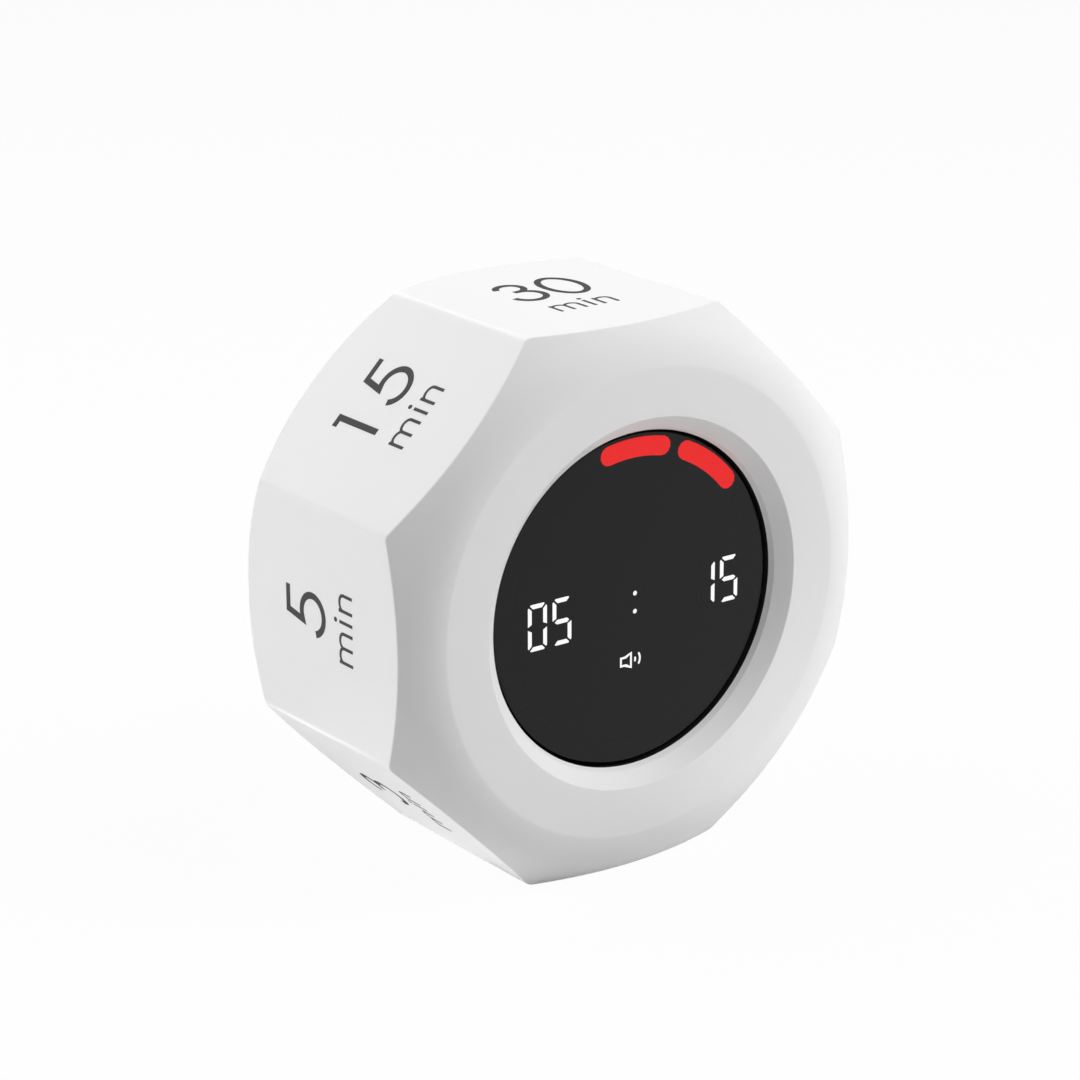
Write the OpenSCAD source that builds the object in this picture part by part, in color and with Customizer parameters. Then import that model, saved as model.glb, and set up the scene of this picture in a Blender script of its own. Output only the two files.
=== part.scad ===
// Flip timer: an eight-sided nut-shaped body that is stood on the face opposite the time wanted.
// Every piece is drawn lying on its back, front upward, and then stood up on one of its faces.

/* [Body] */
// Distance between opposite side faces
across_flats = 76; // [74:0.5:84]
// Depth from the back face to the front ring
body_depth = 40.8; // [39:0.1:50]
// Thickness of the side walls and of the back plate
wall = 2; // [1.8:0.1:2.4]
// Thickness of the front wall
front_wall = 2.6; // [2.4:0.1:3]
// Radius of the eight long edges
edge_round = 1.8; // [0.4:0.1:2.4]
// Width of the crowned chamfer, from the corners in to the flat ring
chamfer_width = 8.8; // [7.6:0.2:9.6]
// Slope of both chamfers where they leave the flat rings, in degrees
chamfer_start = 10; // [6:1:14]
// Slope of the front chamfer at the corners, in degrees
chamfer_end = 38; // [34:1:42]
// Slope of the back chamfer at the corners, in degrees
back_end = 50; // [46:1:52]
// Radius of the bend between those slopes
crown_r = 11.5; // [8:0.5:13]
// Height of the rear cover's lip inside the front housing
lip_h = 2.4; // [1.5:0.1:4]
// Thickness of that lip
lip_t = 1.2; // [1:0.1:1.6]
// Gap between the lip and the housing
lip_gap = 0.2; // [0.1:0.05:0.3]

/* [Display] */
// Width of the flat front ring
ring_w = 6.7; // [6.3:0.1:8]
// Thickness of the lens
lens_t = 1.8; // [1.4:0.1:2.4]
// How far the lens lies below the front ring
lens_depth = 2.95; // [2.6:0.05:3.6]
// Radius of the lens's rounded edge
lens_round = 0.65; // [0.3:0.05:1]
// Gap between the lens and the lip of the recess
lens_gap = 0.15; // [0.1:0.05:0.3]
// Width of the small steep lip under the recess's cone
lip_step = 0.4; // [0.2:0.1:0.6]
// Width of the recess's cone
cone_w = 1.95; // [1.5:0.05:2.4]
// Depth of the recess's cone
cone_h = 1.85; // [1.5:0.05:2.1]
// Wall of the black sleeve round the lens
sleeve_t = 2; // [1.6:0.1:2.2]
// How far the sleeve's wall stands back from the white lip
sleeve_step = 0.1; // [0:0.05:0.2]
// Height of the light reflector
reflector_h = 6; // [5:0.5:7]
// Thickness of the adhesive under the lens
adhesive_t = 0.2; // [0.1:0.05:0.3]
// Width of one digit
digit_w = 3.1; // [3:0.01:3.5]
// Height of one digit
digit_h = 6.5; // [6:0.01:7.5]
// Stroke of a digit's segments
stroke = 0.63; // [0.55:0.01:0.9]
// Gap between neighbouring segments
segment_gap = 0.28; // [0.1:0.01:0.4]
// Gap between the digits of a pair
digit_gap = 0.9; // [0.4:0.01:1]
// Gap between the digits and the ring of progress arcs
pair_margin = 1.98; // [1:0.02:3]
// How far the digits and the colon lie below the axis
sign_drop = 0.48; // [0:0.01:0.6]
// How far the digits, the colon and the speaker sign lie right of the axis
sign_shift = 0.4; // [0:0.01:0.6]
// Diameter of a colon dot
dot_d = 0.66; // [0.6:0.01:1]
// Distance between the colon's dots
dot_pitch = 2.54; // [2:0.01:3]
// Height of the speaker sign's cone
speaker_h = 2.4; // [2:0.01:2.8]
// Stroke of the speaker sign
speaker_stroke = 0.32; // [0.3:0.01:0.4]
// Distance from the axis down to the speaker sign
speaker_y = 8.55; // [7.5:0.05:9]
// Gap between the lens's edge and the ring of progress arcs
arc_margin = 0.75; // [0.75:0.05:1.6]
// Width of a progress arc
arc_w = 2.7; // [2:0.1:2.9]
// Number of progress arcs in the ring
arc_count = 10; // [8:1:12]
// Number of arcs that are lit
arc_lit = 2; // [1:1:8]
// Gap between neighbouring arcs, in degrees
arc_gap = 4; // [3:0.5:6]
// Turn of the ring of arcs, clockwise from the top, in degrees
arc_turn = 1; // [0:0.5:3]
// Thickness of the light windows set in the lens
window_t = 0.6; // [0.4:0.1:1]
// Gap round each light window
window_gap = 0.012; // [0.01:0.001:0.04]

/* [Boards] */
// Thickness of the circuit boards
board_t = 1.6; // [1:0.1:1.6]
// Radius of the main board's edge outside its screws
board_margin = 2.4; // [2:0.1:2.6]
// Diameter of the posts that carry the main board
post_d = 4.8; // [4.4:0.1:5]
// Thread diameter of the small screws
small_screw_d = 1.6; // [1.4:0.1:1.8]
// Thread diameter of the case screws
case_screw_d = 2; // [1.8:0.1:2.2]
// Head diameter of the case screws
case_head_d = 4; // [3.6:0.1:4.2]
// Gap round a screw's head and shank
screw_gap = 0.2; // [0.1:0.05:0.3]
// Diameter of the buzzer
buzzer_d = 12; // [9:0.5:12]
// Height of the buzzer
buzzer_h = 6.5; // [5:0.5:8]
// Diameter of the back's magnets
magnet_d = 6; // [5:0.5:8]
// Thickness of the magnets
magnet_h = 3; // [2:0.5:4]
// Gap between the magnets and the edge of the back's flat
magnet_edge = 3.2; // [2:0.1:4]
// Diameter of the lead wires
wire_d = 1.2; // [0.8:0.1:1.4]

/* [Battery bay] */
// Diameter of a cell
cell_d = 10.5; // [10.1:0.1:10.6]
// Length of a cell over its button
cell_len = 44.5; // [43.5:0.1:44.5]
// Gap between the two cells
cell_gap = 0.6; // [0.4:0.1:1]
// Room round a cell in its bay
cell_room = 0.4; // [0.3:0.05:0.5]
// Length of a contact spring under load
spring_len = 4.2; // [4:0.1:5]
// Wire diameter of a contact spring
spring_wire = 0.6; // [0.5:0.05:0.65]
// Thickness of the contact plates
contact_t = 0.5; // [0.3:0.1:0.6]
// Thickness of the battery door
door_t = 1.6; // [1.4:0.1:1.7]
// Gap round the battery door
door_gap = 0.3; // [0.2:0.05:0.4]
// Width of the ledge that the door rests on
ledge = 0.9; // [0.6:0.1:1.2]
// Thickness of the bay's floor
bay_floor = 1.5; // [1.2:0.1:2]
// Depth of the finger scoop at the door's latch
scoop_depth = 1.1; // [0.8:0.1:1.1]

/* [Sound switch] */
// Travel of the slider from one end to the other
switch_travel = 4; // [3:0.5:4.5]
// Length of the slider's pad
pad_len = 5; // [4:0.1:5.4]
// Width of the slider's pad
pad_w = 5; // [4:0.1:5.4]
// Depth of the finger dish round the slider
dish_depth = 1.2; // [1:0.1:1.3]
// Clearance round the slider
switch_gap = 0.25; // [0.2:0.05:0.4]

/* [Hidden] */
$fn = 64;

// Body: a prism of eight faces cut by a turned profile, split where the back chamfer meets the corners
half_face = 22.5;
apothem = across_flats / 2;
inner_apothem = apothem - wall;
vertex_r = apothem / cos(half_face);
ring_r = vertex_r - chamfer_width;
crown_out = vertex_r + 0.5;
crown_steps = 7;
edge_steps = 4;
function bend(a) =
    [ring_r + crown_r * (sin(a) - sin(chamfer_start)), crown_r * (cos(chamfer_start) - cos(a))];
function cone_drop(r, end) = bend(end)[1] + (r - bend(end)[0]) * tan(end);
function crown(end) = concat(
    [for (i = [0:crown_steps]) bend(chamfer_start + (end - chamfer_start) * i / crown_steps)],
    [[crown_out, cone_drop(crown_out, end)]]
);
front_crown = crown(chamfer_end);
back_crown = crown(back_end);
crown_last = crown_steps + 1;
parting_z = cone_drop(vertex_r, back_end);
ceiling_z = body_depth - front_wall;

// Display stack, from the lens down to the main board
recess_r = ring_r - ring_w;
cone_r = recess_r - cone_w;
lip_r = cone_r - lip_step;
lens_r = lip_r - lens_gap;
sleeve_r = lip_r + sleeve_step;
sleeve_out = sleeve_r + sleeve_t;
lens_top = body_depth - lens_depth;
lens_bottom = lens_top - lens_t;
reflector_top = lens_bottom - adhesive_t;
board_top = reflector_top - reflector_h;
board_bottom = board_top - board_t;
rib_gap = 0.2;
rib_t = 1;
rib_h = 3;
adhesive_w = 0.6;

// Signs on the display
segments = ["a", "b", "c", "d", "e", "f", "g"];
shown = ["abcdef", "acdfg", "bc", "acdfg"];
digit_pitch = digit_w + digit_gap;
arc_r = lens_r - arc_margin;
pair_x = arc_r - arc_w - pair_margin - (digit_pitch + digit_w) / 2;
digit_xs = [for (side = [-1, 1]) for (place = [-0.5, 0.5]) sign_shift + side * pair_x + place * digit_pitch];
corner_cut = 0.3;
middle_tip = 0.36;
cell_inset = 0.06;
arc_pitch = 360 / arc_count;
arc_steps = 6;
cap_steps = 6;
speaker_x = sign_shift - 0.45;
wave_half = 37;

// Screws: four in the corners of the case, four on the main board's posts
case_head_h = 1.4;
case_shank = 11;
case_bore = case_head_d / 2 + screw_gap;
case_tube = case_bore + 0.9;
case_seat = 3.4;
case_edge = 0.8;
case_circle = ring_r - case_bore - case_edge;
tube_top = parting_z + lip_h;
pilot_gap = 0.03;
pilot_spare = 2;
boss_r = case_tube - 0.3;
post_circle = sleeve_out + rib_gap + rib_t + post_d / 2;
board_r = post_circle + board_margin;
small_head_h = 1.1;
small_head_d = 3;
small_shank = 5;

// Battery bay in the rear cover: two cells side by side, turned end for end
cell_y = (cell_d + cell_gap) / 2;
cell_lift = 0.8;
cell_z = door_t + cell_lift + cell_d / 2;
end_gap = 0.1;
bay_x = (cell_len + spring_len) / 2 + contact_t + end_gap;
bay_y = cell_y + cell_d / 2 + cell_room;
cradle_r = cell_d / 2 + cell_room;
cradle_step = 0.15;
bay_wall = ledge + door_gap + 1;
bay_top = cell_z + cradle_r + bay_floor;
bay_out_x = bay_x + bay_wall;
bay_out_y = bay_y + bay_wall;
door_x = bay_x + ledge;
door_y = bay_y + ledge;
door_seat = door_t + 0.1;
button_d = 3.8;
button_h = 0.9;
plate_w = 8;
plate_h = 7.4;
dimple_r = 1.6;
dimple_h = 0.25;
tab_w = 2;
tab_room = 0.2;
tab_top = bay_top + 1.8;
spring_turns = 3.5;
spring_base = 3.2;
spring_tip = 2.2;
turn_rings = 8;
spring_sides = 6;

// Door: a rounded upper edge that it turns on, two tongues under the back plate and a latch tab
hinge_r = door_t / 2;
hinge_y = door_y - hinge_r;
door_round = 1;
tongue_w = 6;
tongue_x = 15;
tongue_t = 0.9;
tongue_gap = 0.3;
tongue_reach = 0.9;
tongue_leg = 1.2;
tongue_z = wall + tongue_gap;
tongue_root = bay_y - cradle_step - tongue_gap - tongue_leg;
tongue_tip = door_y + door_gap + tongue_reach;
slot_room = 0.5;
slot_rise = 1.6;
latch_w = 11;
latch_len = 7;
latch_slit = 0.8;
grip_count = 4;
grip_pitch = 1.5;
grip_h = 0.3;
scoop_r = 12;
foam_t = 0.5;
foam_w = 5.6;
foam_margin = 7;

// Sound switch above the bay, buzzer below it, magnets beside them
dish_len = pad_len + switch_travel + 4 * switch_gap;
dish_w = pad_w + 4 * switch_gap;
pad_round = 1.8;
dish_round = pad_round + 2 * switch_gap;
switch_y = bay_out_y + 1.4 + dish_w / 2;
stem_len = 2.4;
stem_w = 2;
stem_end = 1.4;
pad_bottom = 0.2;
pad_top = dish_depth - 0.15;
switch_wall = 0.8;
switch_len = stem_len + switch_travel + 2 * (switch_gap + switch_wall);
switch_w = stem_w + 2 * (switch_gap + switch_wall);
switch_h = 3.4;
switch_z = wall + 0.4;
switch_post_r = 1.7;
switch_post_gap = 0.6;
switch_screw_x = switch_len / 2 + switch_post_gap + switch_post_r;
switch_board_edge = 0.4;
switch_board_rim = 1;
switch_board_w = 2 * (switch_screw_x + switch_post_r + switch_board_edge);
switch_board_h = switch_w + 2 * switch_board_rim;
switch_board_z = switch_z + switch_h;
ring_t = 1;
buzzer_room = 0.15;
buzzer_y = -(bay_out_y + 1 + buzzer_d / 2 + buzzer_room + ring_t);
buzzer_seat_h = 3;
sound_hole_r = 0.7;
sound_hole_circle = 2.6;
magnet_skin = 0.8;
magnet_room = 0.05;
magnet_cup_t = 0.9;
magnet_circle = ring_r - magnet_edge - magnet_d / 2;
magnet_spots = [for (turn = [60, 120, 240, 300]) magnet_circle * [cos(turn), sin(turn)]];

// Parts on the back of the main board
chip_at = [-7, 9];
chip_size = [7, 7, 1.4];
sensor_at = [9, -6];
sensor_size = [3, 3, 1];
inductor_at = [10, 9];
inductor_size = [5, 5, 3];
crystal_at = [-9, -5];
crystal_d = 2;
crystal_len = 6;

// Stand the lying timer up on its lower face
module standing() {
    translate([0, body_depth / 2, apothem]) rotate([90, 0, 0]) children();
}

// Corner points of an eight-sided outline with rounded corners
function octagon(a, r) = [
    for (k = [0:7]) for (i = [0:edge_steps])
        let (corner = half_face + 45 * k, turn = corner - half_face + 45 * i / edge_steps)
        (a - r) / cos(half_face) * [cos(corner), sin(corner)] + r * [cos(turn), sin(turn)]
];

// Corner points of a rectangle with rounded corners
function rounded(w, h, r, steps = 5) = [
    for (k = [0:3]) for (i = [0:steps])
        let (turn = 90 * k + 90 * i / steps, sx = (k == 0 || k == 3) ? 1 : -1, sy = k < 2 ? 1 : -1)
        [sx * (w / 2 - r), sy * (h / 2 - r)] + r * [cos(turn), sin(turn)]
];

module prism(points, z, h) {
    translate([0, 0, z]) linear_extrude(h) polygon(points);
}

module box(w, d, z, h) {
    translate([-w / 2, -d / 2, z]) cube([w, d, h]);
}

// The whole body outside: both chamfers are crowned curves, and the back one ends steeper
module nut() {
    fall = [for (i = [crown_last:-1:0]) [front_crown[i][0], body_depth - front_crown[i][1]]];
    intersection() {
        prism(octagon(apothem, edge_round), -1, body_depth + 2);
        rotate_extrude() polygon(concat([[0, 0]], back_crown, fall, [[0, body_depth]]));
    }
}

// The hollow of the front housing, open toward the back
module front_hollow() {
    floor_z = parting_z - 1;
    fall = [for (i = [crown_last:-1:0]) [front_crown[i][0], ceiling_z - front_crown[i][1]]];
    intersection() {
        prism(octagon(inner_apothem, edge_round), floor_z, body_depth);
        rotate_extrude() polygon(concat([[0, floor_z], [crown_out, floor_z]], fall, [[0, ceiling_z]]));
    }
}

// The hollow of the rear cover, open toward the front
module rear_hollow() {
    top_z = tube_top + 1;
    rise = [for (point = back_crown) [point[0], wall + point[1]]];
    intersection() {
        prism(octagon(inner_apothem - lip_gap - lip_t, edge_round), 0, top_z);
        rotate_extrude() polygon(concat([[0, wall]], rise, [[crown_out, top_z], [0, top_z]]));
    }
}

module at_case_screws() {
    for (k = [0:3]) rotate(45 + 90 * k) translate([case_circle, 0, 0]) children();
}

module at_posts() {
    for (k = [0:3]) rotate(90 * k) translate([post_circle, 0, 0]) children();
}

// Front housing: shell, recess for the display, rib round the sleeve, posts and screw bosses
module front_housing() {
    flare = cone_w / cone_h;
    pilot = case_screw_d / 2 + pilot_gap;
    post_pilot = small_screw_d / 2 + pilot_gap;
    color("white") standing() difference() {
        union() {
            difference() {
                intersection() {
                    nut();
                    box(3 * apothem, 3 * apothem, parting_z, body_depth);
                }
                front_hollow();
            }
            translate([0, 0, ceiling_z - rib_h]) difference() {
                cylinder(r = sleeve_out + rib_gap + rib_t, h = rib_h + 0.5);
                translate([0, 0, -1]) cylinder(r = sleeve_out + rib_gap, h = rib_h + 3);
            }
            at_posts() translate([0, 0, board_top]) cylinder(d = post_d, h = ceiling_z - board_top + 0.5);
            at_case_screws() translate([0, 0, tube_top]) cylinder(r = boss_r, h = ceiling_z - tube_top + 0.5);
        }
        rotate_extrude() polygon([
            [0, ceiling_z - 1], [lip_r, ceiling_z - 1], [lip_r, ceiling_z], [cone_r, body_depth - cone_h],
            [recess_r, body_depth], [recess_r + flare, body_depth + 1], [0, body_depth + 1]
        ]);
        at_posts() translate([0, 0, board_top - 1]) cylinder(r = post_pilot, h = small_shank + 1);
        at_case_screws() translate([0, 0, tube_top - 1])
            cylinder(r = pilot, h = case_seat + case_shank + pilot_spare - tube_top + 1);
    }
}

// Rear cover: shell and lip, battery bay, screw tubes, seats for the buzzer, switch and magnets
module rear_cover() {
    post_pilot = small_screw_d / 2 + pilot_gap;
    root = wall / 2;
    color("white") standing() difference() {
        union() {
            difference() {
                union() {
                    intersection() {
                        nut();
                        box(3 * apothem, 3 * apothem, -1, parting_z + 1);
                    }
                    prism(octagon(inner_apothem - lip_gap, edge_round), parting_z - 1, lip_h + 1);
                }
                rear_hollow();
            }
            at_case_screws() translate([0, 0, root]) cylinder(r = case_tube, h = tube_top - root);
            box(2 * bay_out_x, 2 * bay_out_y, root, bay_top - root);
            translate([0, buzzer_y, root])
                cylinder(d = buzzer_d + 2 * (buzzer_room + ring_t), h = wall + buzzer_seat_h - root);
            for (spot = magnet_spots) translate([spot[0], spot[1], root])
                cylinder(r = magnet_d / 2 + magnet_room + magnet_cup_t, h = magnet_skin + magnet_h - root);
            for (x = [-1, 1]) translate([x * switch_screw_x, switch_y, root])
                cylinder(r = switch_post_r, h = switch_board_z - root);
        }
        // Door pocket, cells' cradles and the tongues' and tabs' slots
        prism(rounded(2 * (door_x + door_gap), 2 * (door_y + door_gap), door_round), -1, door_seat + 1);
        box(2 * bay_x, 2 * (bay_y - cradle_step), -1, cell_z + 1);
        for (side = [-1, 1]) translate([-bay_x, side * cell_y, cell_z])
            rotate([0, 90, 0]) cylinder(r = cradle_r, h = 2 * bay_x);
        for (x = [-1, 1]) translate([x * tongue_x, (tongue_root + tongue_tip) / 2 + slot_room, 0])
            box(tongue_w + 2 * slot_room, tongue_tip - tongue_root + 2 * slot_room, wall,
                tongue_t + slot_rise);
        for (side = [-1, 1]) translate([bay_x - contact_t / 2, side * cell_y, 0])
            box(contact_t + 2 * tab_room, tab_w + 2 * tab_room, cell_z, bay_top);
        // Scoop for a finger at the latch
        translate([0, -door_y - door_gap / 2, scoop_depth - scoop_r]) sphere(r = scoop_r);
        // Screws, buzzer, magnets and switch
        at_case_screws() {
            translate([0, 0, -1]) cylinder(r = case_bore, h = case_seat + 1);
            translate([0, 0, -1]) cylinder(r = case_screw_d / 2 + screw_gap, h = tube_top + 2);
        }
        translate([0, buzzer_y, wall]) cylinder(d = buzzer_d + 2 * buzzer_room, h = buzzer_h);
        translate([0, buzzer_y, -1]) {
            cylinder(r = sound_hole_r, h = wall + 2);
            for (k = [0:5]) rotate(60 * k) translate([sound_hole_circle, 0, 0])
                cylinder(r = sound_hole_r, h = wall + 2);
        }
        for (spot = magnet_spots) translate([spot[0], spot[1], magnet_skin])
            cylinder(r = magnet_d / 2 + magnet_room, h = magnet_h + 1);
        translate([0, switch_y, 0]) {
            prism(rounded(dish_len, dish_w, dish_round), -1, dish_depth + 1);
            box(stem_len + switch_travel + 2 * switch_gap, stem_w + 2 * switch_gap, -1, wall + 2);
        }
        for (x = [-1, 1]) translate([x * switch_screw_x, switch_y, wall])
            cylinder(r = post_pilot, h = switch_board_z);
    }
}

// A screw with a round head and a crossed recess, its head downward and the head's seat at z = 0
module screw(d, head_d, head_h, shank) {
    difference() {
        union() {
            translate([0, 0, -head_h]) cylinder(d = head_d, h = head_h);
            translate([0, 0, -head_h / 2]) cylinder(d = d, h = shank + head_h / 2);
        }
        for (turn = [0, 90]) rotate(turn) box(head_d * 0.6, head_d * 0.15, -head_h - 1, 1 + head_h / 2);
    }
}

module case_screws() {
    color("silver") standing() at_case_screws() translate([0, 0, case_seat])
        screw(case_screw_d, case_head_d, case_head_h, case_shank);
}

// Black sleeve between the front wall and the main board, round the lens and the reflector
module display_bezel() {
    color("black") standing() difference() {
        translate([0, 0, board_top]) cylinder(r = sleeve_out, h = ceiling_z - board_top);
        translate([0, 0, board_top - 1]) cylinder(r = sleeve_r, h = ceiling_z - board_top + 2);
    }
}

// Outline of one segment of a digit w wide and h high, with stroke s and mitre gap k at its ends
function segment_outline(name, w, h, s, k) =
    let (
        sx = (name == "b" || name == "c") ? 1 : -1,
        sy = (name == "c" || name == "d" || name == "e") ? -1 : 1,
        cut = corner_cut
    )
    (name == "a" || name == "d") ? [
        [-w / 2 + k + cut / 2, sy * (h / 2 - cut / 2)], [-w / 2 + k + cut, sy * h / 2],
        [w / 2 - k - cut, sy * h / 2], [w / 2 - k - cut / 2, sy * (h / 2 - cut / 2)],
        [w / 2 - s - k, sy * (h / 2 - s)], [-w / 2 + s + k, sy * (h / 2 - s)]
    ] : name == "g" ? [
        [-w / 2 + middle_tip, 0], [-w / 2 + s + k / 2, s / 2], [w / 2 - s - k / 2, s / 2],
        [w / 2 - middle_tip, 0], [w / 2 - s - k / 2, -s / 2], [-w / 2 + s + k / 2, -s / 2]
    ] : [
        [sx * w / 2, sy * k], [sx * w / 2, sy * (h / 2 - k - cut)],
        [sx * (w / 2 - cut / 2), sy * (h / 2 - k - cut / 2)], [sx * (w / 2 - s), sy * (h / 2 - s - k)],
        [sx * (w / 2 - s), sy * (s / 2 + k)]
    ];

// Middle of a segment, where its light stands
function segment_middle(name) =
    let (x = (digit_w - stroke) / 2, y = digit_h / 4)
    name == "a" ? [0, digit_h / 2 - stroke / 2] : name == "d" ? [0, stroke / 2 - digit_h / 2]
    : name == "g" ? [0, 0] : [(name == "b" || name == "c") ? x : -x, (name == "b" || name == "f") ? y : -y];

function is_lit(digit, name) = len(search(name, shown[digit])) > 0;

// All segments that are lit, or all that are dark, drawn smaller by inset on every side
module digit_segments(lit, inset, z, h) {
    for (digit = [0:3]) for (name = segments) if (is_lit(digit, name) == lit)
        translate([digit_xs[digit], -sign_drop, 0]) prism(
            segment_outline(name, digit_w - 2 * inset, digit_h - 2 * inset, stroke - 2 * inset,
                segment_gap * sqrt(0.5) + 2 * inset), z, h);
}

// Outline of a band round the axis from angle a0 to a1, with round ends
function band(r_out, w, a0, a1) =
    let (r = r_out - w / 2, cap = asin(w / 2 / r), b0 = a0 + cap, b1 = a1 - cap)
    concat(
        [for (i = [0:arc_steps]) let (a = b0 + (b1 - b0) * i / arc_steps) r_out * [cos(a), sin(a)]],
        [for (i = [1:cap_steps - 1]) let (a = b1 + 180 * i / cap_steps)
            r * [cos(b1), sin(b1)] + w / 2 * [cos(a), sin(a)]],
        [for (i = [0:arc_steps]) let (a = b1 + (b0 - b1) * i / arc_steps) (r_out - w) * [cos(a), sin(a)]],
        [for (i = [1:cap_steps - 1]) let (a = b0 + 180 + 180 * i / cap_steps)
            r * [cos(b0), sin(b0)] + w / 2 * [cos(a), sin(a)]]
    );

// Progress arcs number first to last, clockwise from the top, drawn smaller by inset
module progress_arcs(first, last, inset, z, h) {
    half = arc_pitch / 2 - arc_gap / 2;
    trim = inset * 180 / (PI * arc_r);
    for (k = [first:last]) let (middle = 90 - arc_turn - arc_pitch * k)
        prism(band(arc_r - inset, arc_w - 2 * inset, middle - half + trim, middle + half - trim), z, h);
}

module colon_dots(inset, z, h) {
    for (side = [-1, 1]) translate([sign_shift, side * dot_pitch / 2 - sign_drop, z])
        cylinder(d = dot_d - 2 * inset, h = h);
}

// Outline of the speaker: a small box that opens into a cone, drawn smaller by inset
function speaker(inset) =
    let (half = speaker_h / 2 - 1.25 * inset, neck = speaker_h * 0.3 - inset,
        back = inset - speaker_h * 0.84)
    [[back, -neck], [back, neck], [back + speaker_h * 0.3, neck], [-inset, half], [-inset, -half],
        [back + speaker_h * 0.3, -neck]];

// Speaker drawn as an outline, with two sound waves beside it
module speaker_sign(inset, z, h) {
    waves = [speaker_h * 0.3, speaker_h * 0.63];
    translate([speaker_x, -speaker_y, 0]) {
        difference() {
            prism(speaker(inset), z, h);
            prism(speaker(speaker_stroke - inset), z - 1, h + 2);
        }
        for (r = waves)
            prism(band(r - inset, speaker_stroke - 2 * inset, inset - wave_half, wave_half - inset), z, h);
    }
}

// Gloss black lens with a rounded front edge and a pocket for each light window
module display_lens() {
    edge = [for (i = [0:6]) let (a = 15 * i)
        [lens_r - lens_round + lens_round * sin(90 - a), lens_top - lens_round + lens_round * sin(a)]];
    pocket = lens_top - window_t;
    color([0.06, 0.06, 0.07]) standing() difference() {
        rotate_extrude() polygon(concat([[0, lens_bottom], [lens_r, lens_bottom]], edge, [[0, lens_top]]));
        digit_segments(true, 0, pocket, window_t + 1);
        digit_segments(false, 0, pocket, window_t + 1);
        colon_dots(0, pocket, window_t + 1);
        speaker_sign(0, pocket, window_t + 1);
        progress_arcs(0, arc_count - 1, 0, pocket, window_t + 1);
    }
}

module lit_digit_windows() {
    color("white") standing() digit_segments(true, window_gap, lens_top - window_t, window_t);
}

module dark_digit_windows() {
    color([0.08, 0.08, 0.09]) standing() digit_segments(false, window_gap, lens_top - window_t, window_t);
}

module colon_windows() {
    color("white") standing() colon_dots(window_gap, lens_top - window_t, window_t);
}

module sound_icon_windows() {
    color("white") standing() speaker_sign(window_gap, lens_top - window_t, window_t);
}

module lit_progress_windows() {
    color("red") standing() progress_arcs(0, arc_lit - 1, window_gap, lens_top - window_t, window_t);
}

module dark_progress_windows() {
    color([0.08, 0.08, 0.09]) standing()
        progress_arcs(arc_lit, arc_count - 1, window_gap, lens_top - window_t, window_t);
}

module lens_adhesive() {
    color("gray") standing() translate([0, 0, reflector_top]) difference() {
        cylinder(r = lens_r, h = adhesive_t);
        translate([0, 0, -1]) cylinder(r = lens_r - adhesive_w, h = adhesive_t + 2);
    }
}

// Block with one light shaft under each window
module light_reflector() {
    color("gainsboro") standing() difference() {
        translate([0, 0, board_top]) cylinder(r = lens_r, h = reflector_h);
        digit_segments(true, cell_inset, board_top - 1, reflector_h + 2);
        digit_segments(false, cell_inset, board_top - 1, reflector_h + 2);
        colon_dots(-cell_inset, board_top - 1, reflector_h + 2);
        progress_arcs(0, arc_count - 1, cell_inset, board_top - 1, reflector_h + 2);
        translate([speaker_x, -speaker_y, board_top - 1]) cylinder(r = speaker_h * 0.8, h = reflector_h + 2);
    }
}

// One light in each shaft
module led_chips() {
    side = stroke - 3 * cell_inset;
    color("khaki") standing() {
        for (digit = [0:3]) for (name = segments) let (middle = segment_middle(name))
            translate([digit_xs[digit] + middle[0], middle[1] - sign_drop, 0])
                box(side, side, board_top, side);
        for (y = [-dot_pitch / 2, dot_pitch / 2]) translate([sign_shift, y - sign_drop, 0])
            box(side, side, board_top, side);
        for (k = [0:arc_count - 1]) rotate(90 - arc_turn - arc_pitch * k) translate([arc_r - arc_w / 2, 0, 0])
            box(2 * side, 3 * side, board_top, side);
        translate([speaker_x, -speaker_y, 0]) box(3 * side, 2 * side, board_top, side);
    }
}

// Round board, cut away at the case bosses
module main_board() {
    color("seagreen") standing() difference() {
        translate([0, 0, board_bottom]) cylinder(r = board_r, h = board_t);
        at_case_screws() translate([0, 0, board_bottom - 1]) cylinder(r = boss_r + 0.5, h = board_t + 2);
        at_posts() translate([0, 0, board_bottom - 1])
            cylinder(r = small_screw_d / 2 + screw_gap, h = board_t + 2);
    }
}

module board_screws() {
    color("silver") standing() at_posts() translate([0, 0, board_bottom])
        screw(small_screw_d, small_head_d, small_head_h, small_shank + board_t - 1);
}

module controller_chip() {
    pin = 0.4;
    count = 8;
    color([0.15, 0.15, 0.16]) standing() translate([chip_at[0], chip_at[1], board_bottom - chip_size[2]]) {
        box(chip_size[0], chip_size[1], 0, chip_size[2]);
        for (turn = [0, 90]) rotate(turn) for (k = [0:count - 1])
            translate([0, (k - (count - 1) / 2) * 2 * pin, 0])
                box(chip_size[0] + 4 * pin, pin, chip_size[2] - pin / 2, pin / 2);
    }
}

module motion_sensor() {
    color([0.2, 0.2, 0.21]) standing() translate([sensor_at[0], sensor_at[1], board_bottom - sensor_size[2]])
        box(sensor_size[0], sensor_size[1], 0, sensor_size[2]);
}

module clock_crystal() {
    color("silver") standing()
        translate([crystal_at[0], crystal_at[1] - crystal_len / 2, board_bottom - crystal_d / 2])
        rotate([-90, 0, 0]) cylinder(d = crystal_d, h = crystal_len);
}

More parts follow.
